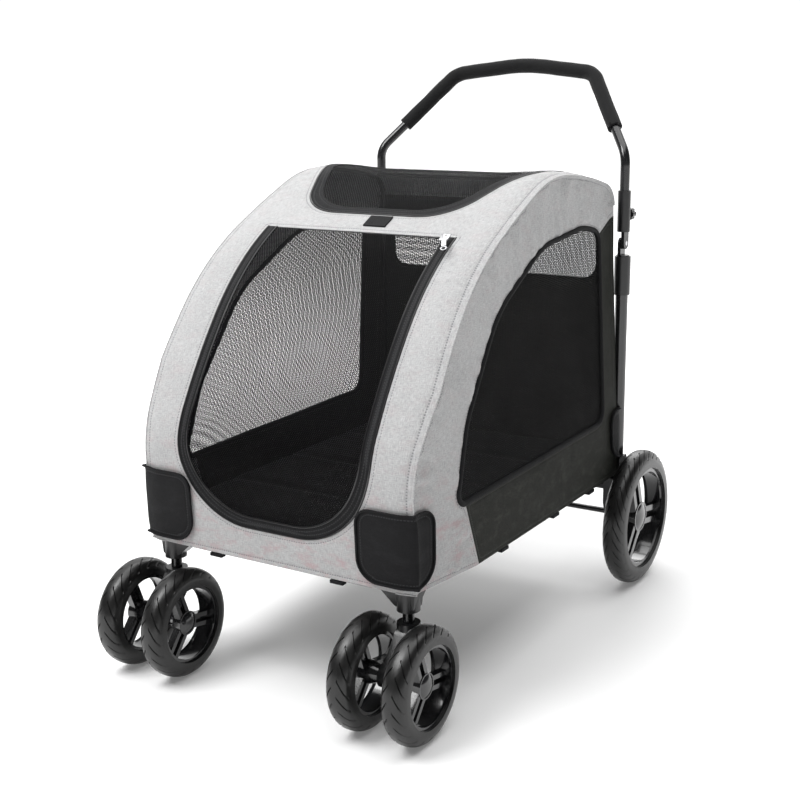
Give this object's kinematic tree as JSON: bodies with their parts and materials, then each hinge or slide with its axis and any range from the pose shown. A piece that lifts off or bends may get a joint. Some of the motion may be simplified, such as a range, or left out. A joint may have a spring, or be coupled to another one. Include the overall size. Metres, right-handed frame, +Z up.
{
  "type": "pet stroller",
  "caption": "Pet stroller with a cloth cabin, mesh windows, door and roof flap, on swivelling twin front casters and large rear wheels, with a folding, height-adjustable handle.",
  "frame": {"origin": "on the floor, under the middle of the stroller's bounding box", "axes": "+X to the pusher's left, -Y to the front, +Z up"},
  "size_m": [0.6058, 0.919, 0.9233],
  "materials": {
    "cloth_grey": "heather weave",
    "cloth_dark": "plain weave",
    "mesh_black": "open mesh",
    "binding_black": "woven tape",
    "tube_black": "gloss powder coat",
    "plastic_black": "satin",
    "rim_gloss": "gloss",
    "tyre_black": "matte",
    "foam_black": "soft foam",
    "cushion_black": "plush",
    "zinc": "bright"
  },
  "bodies": {
    "base": {"side_rails": "tube_black", "cross_tubes": "tube_black", "floor_board": "plastic_black", "floor_cushion": "cushion_black", "floor_cover": "cloth_dark", "front_brackets": "plastic_black", "rear_brackets": "plastic_black", "rear_uprights": "tube_black", "upright_sleeves": "plastic_black", "fold_pins": "tube_black", "hood_panel": "cloth_grey", "back_panel": "cloth_dark", "rear_window": "mesh_black", "side_band_left": "cloth_grey", "side_band_right": "cloth_grey", "side_panel_left": "cloth_dark", "side_panel_right": "cloth_dark", "side_windows": "mesh_black", "arch_rods": "tube_black", "roof_bow": "tube_black", "corner_pads": "cloth_dark", "hem_tabs": "binding_black", "roll_up_strap": "binding_black", "rear_axle": "tube_black"},
    "front_bow": {"front_bow": "tube_black"},
    "door": {"door_binding": "binding_black", "door_mesh": "mesh_black", "zipper_slider": "zinc"},
    "roof_flap": {"roof_binding": "binding_black", "roof_mesh": "mesh_black"},
    "handle_frame": {"handle_sockets": "tube_black"},
    "handle": {"handle_bar": "tube_black", "foam_grip": "foam_black"},
    "caster_left": {"caster_stem_left": "tube_black", "caster_fork_left": "plastic_black", "caster_axle_left": "tube_black"},
    "wheel_left_outer": {"rim_left_outer": "rim_gloss", "tyre_left_outer": "tyre_black"},
    "wheel_left_inner": {"rim_left_inner": "rim_gloss", "tyre_left_inner": "tyre_black"},
    "rear_wheel_left": {"rear_rim_left": "rim_gloss", "rear_tyre_left": "tyre_black", "rear_brake_ring_left": "plastic_black"},
    "brake_left": {"brake_pedal_left": "plastic_black", "brake_pawl_left": "plastic_black"},
    "knob_left": {"height_knob_left": "plastic_black"},
    "caster_right": {"caster_stem_right": "tube_black", "caster_fork_right": "plastic_black", "caster_axle_right": "tube_black"},
    "wheel_right_outer": {"rim_right_outer": "rim_gloss", "tyre_right_outer": "tyre_black"},
    "wheel_right_inner": {"rim_right_inner": "rim_gloss", "tyre_right_inner": "tyre_black"},
    "rear_wheel_right": {"rear_rim_right": "rim_gloss", "rear_tyre_right": "tyre_black", "rear_brake_ring_right": "plastic_black"},
    "brake_right": {"brake_pedal_right": "plastic_black", "brake_pawl_right": "plastic_black"},
    "knob_right": {"height_knob_right": "plastic_black"}
  },
  "joints": [
    {"name": "handle_fold", "type": "hinge", "parent": "base", "child": "handle_frame", "pos_m": [0, 0.331, 0.612], "axis": [1, 0, 0], "range_deg": [0, 105], "deforming": ["hood_panel", "back_panel", "rear_window", "side_band_left", "side_band_right", "side_panel_left", "side_panel_right", "side_windows", "arch_rods", "roof_bow", "corner_pads", "roll_up_strap", "door_binding", "door_mesh", "roof_binding", "roof_mesh"]},
    {"name": "cabin_drop", "type": "slide", "parent": "base", "child": "front_bow", "axis": [0, 0, -1], "range_m": [0, 0.15975]},
    {"name": "door_flap", "type": "hinge", "parent": "front_bow", "child": "door", "pos_m": [0, -0.1215, 0.6676], "axis": [-1, 0, 0], "range_deg": [0, 100]},
    {"name": "roof_flap_hinge", "type": "hinge", "parent": "front_bow", "child": "roof_flap", "pos_m": [0, -0.0776, 0.6899], "axis": [1, 0, 0], "range_deg": [0, 95]},
    {"name": "handle_height", "type": "slide", "parent": "handle_frame", "child": "handle", "axis": [0, 0, 1], "range_m": [0, 0.045]},
    {"name": "caster_swivel_left", "type": "hinge", "parent": "base", "child": "caster_left", "pos_m": [0.2138, -0.3335, 0.16], "axis": [0, 0, 1], "continuous": true},
    {"name": "wheel_spin_left_outer", "type": "hinge", "parent": "caster_left", "child": "wheel_left_outer", "pos_m": [0.2138, -0.3745, 0.085], "axis": [1, 0, 0], "continuous": true},
    {"name": "wheel_spin_left_inner", "type": "hinge", "parent": "caster_left", "child": "wheel_left_inner", "pos_m": [0.2138, -0.3745, 0.085], "axis": [1, 0, 0], "continuous": true},
    {"name": "rear_wheel_spin_left", "type": "hinge", "parent": "base", "child": "rear_wheel_left", "pos_m": [0.2826, 0.339, 0.1205], "axis": [1, 0, 0], "continuous": true},
    {"name": "brake_pedal_press_left", "type": "hinge", "parent": "base", "child": "brake_left", "pos_m": [0.22, 0.368, 0.16], "axis": [-1, 0, 0], "range_deg": [0, 25]},
    {"name": "height_knob_turn_left", "type": "hinge", "parent": "handle_frame", "child": "knob_left", "pos_m": [0.246, 0.35, 0.66], "axis": [0, 1, 0], "range_deg": [0, 360]},
    {"name": "caster_swivel_right", "type": "hinge", "parent": "base", "child": "caster_right", "pos_m": [-0.2138, -0.3335, 0.16], "axis": [0, 0, 1], "continuous": true},
    {"name": "wheel_spin_right_outer", "type": "hinge", "parent": "caster_right", "child": "wheel_right_outer", "pos_m": [-0.2138, -0.3745, 0.085], "axis": [1, 0, 0], "continuous": true},
    {"name": "wheel_spin_right_inner", "type": "hinge", "parent": "caster_right", "child": "wheel_right_inner", "pos_m": [-0.2138, -0.3745, 0.085], "axis": [1, 0, 0], "continuous": true},
    {"name": "rear_wheel_spin_right", "type": "hinge", "parent": "base", "child": "rear_wheel_right", "pos_m": [-0.2826, 0.339, 0.1205], "axis": [1, 0, 0], "continuous": true},
    {"name": "brake_pedal_press_right", "type": "hinge", "parent": "base", "child": "brake_right", "pos_m": [-0.22, 0.368, 0.16], "axis": [-1, 0, 0], "range_deg": [0, 25]},
    {"name": "height_knob_turn_right", "type": "hinge", "parent": "handle_frame", "child": "knob_right", "pos_m": [-0.246, 0.35, 0.66], "axis": [0, 1, 0], "range_deg": [0, 360]}
  ],
  "couplings": [
    {"joint": "cabin_drop", "follows": "handle_fold", "m_per_rad": 0.086896}
  ]
}
